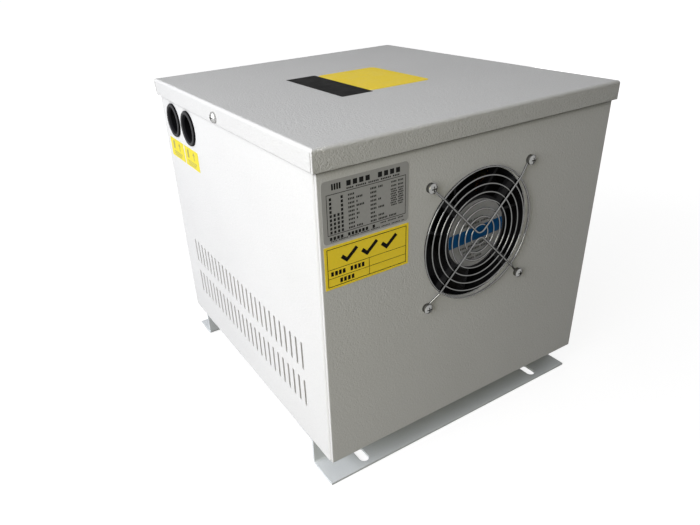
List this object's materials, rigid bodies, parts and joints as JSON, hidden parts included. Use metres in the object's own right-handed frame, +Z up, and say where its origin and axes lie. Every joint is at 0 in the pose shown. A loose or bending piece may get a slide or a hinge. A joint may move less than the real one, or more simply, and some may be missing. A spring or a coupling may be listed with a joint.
{
  "type": "enclosed dry-type transformer",
  "caption": "Fan-cooled dry-type transformer in a powder-coated sheet steel enclosure with vent slots, cable grommets, a screwed cover and slotted foot rails.",
  "frame": {"origin": "floor level, in the middle of the four foot slots", "axes": "+X towards the panel with the fan, -Y towards the side with the cable grommets, +Z up"},
  "size_m": [0.3324, 0.3122, 0.304],
  "materials": {
    "powder_coat": "fine-textured light grey powder coat on sheet steel",
    "rail_paint": "light grey paint on folded steel",
    "plated_steel": "zinc-plated steel",
    "guard_chrome": "bright plated wire",
    "fan_casting": "black painted die casting",
    "impeller_plastic": "black moulding",
    "black_rubber": "soft black rubber",
    "lamination": "varnished electrical steel",
    "copper": "enamelled copper",
    "brass": "turned brass",
    "insulation": "pressboard and glass-cloth laminate",
    "board": "brown laminate"
  },
  "bodies": {
    "enclosure": {"base_plate": "powder_coat", "left_panel": "powder_coat", "right_panel": "powder_coat", "front_panel": "powder_coat", "rear_panel": "powder_coat", "top_cover": "powder_coat", "cover_screws": "plated_steel", "cover_nuts": "plated_steel", "foot_rail_front": "rail_paint", "foot_rail_rear": "rail_paint", "rail_bolts": "plated_steel", "rail_nuts": "plated_steel", "grommet_rear": "black_rubber", "grommet_front": "black_rubber", "earth_stud": "brass", "earth_nut": "brass", "fan_frame": "fan_casting", "fan_stator": "lamination", "fan_bearings": "plated_steel", "guard_rings": "guard_chrome", "guard_wires": "guard_chrome", "fan_screws": "plated_steel", "fan_nuts": "plated_steel", "fan_lead": "black_rubber", "core_limbs": "lamination", "core_yoke": "lamination", "former_u": "insulation", "former_v": "insulation", "former_w": "insulation", "secondary_u": "copper", "secondary_v": "copper", "secondary_w": "copper", "barrier_u": "insulation", "barrier_v": "insulation", "barrier_w": "insulation", "primary_u": "copper", "primary_v": "copper", "primary_w": "copper", "clamp_lower_front": "rail_paint", "clamp_lower_rear": "rail_paint", "clamp_upper_front": "rail_paint", "clamp_upper_rear": "rail_paint", "yoke_bolts": "plated_steel", "yoke_nuts": "plated_steel", "core_bolts": "plated_steel", "core_nuts": "plated_steel", "secondary_board": "board", "primary_board": "board", "board_spacers": "insulation", "board_screws": "plated_steel", "terminal_studs": "brass", "terminal_nuts": "brass", "secondary_star_bar": "copper", "primary_star_bar": "copper", "secondary_leads": "copper", "primary_leads": "copper"},
    "fan_rotor": {"fan_impeller": "impeller_plastic", "fan_shaft": "plated_steel", "fan_rotor_ring": "lamination"}
  },
  "joints": [
    {"name": "fan_spin", "type": "hinge", "parent": "enclosure", "child": "fan_rotor", "pos_m": [0.1415, 0, 0.2025], "axis": [1, 0, 0], "continuous": true}
  ]
}
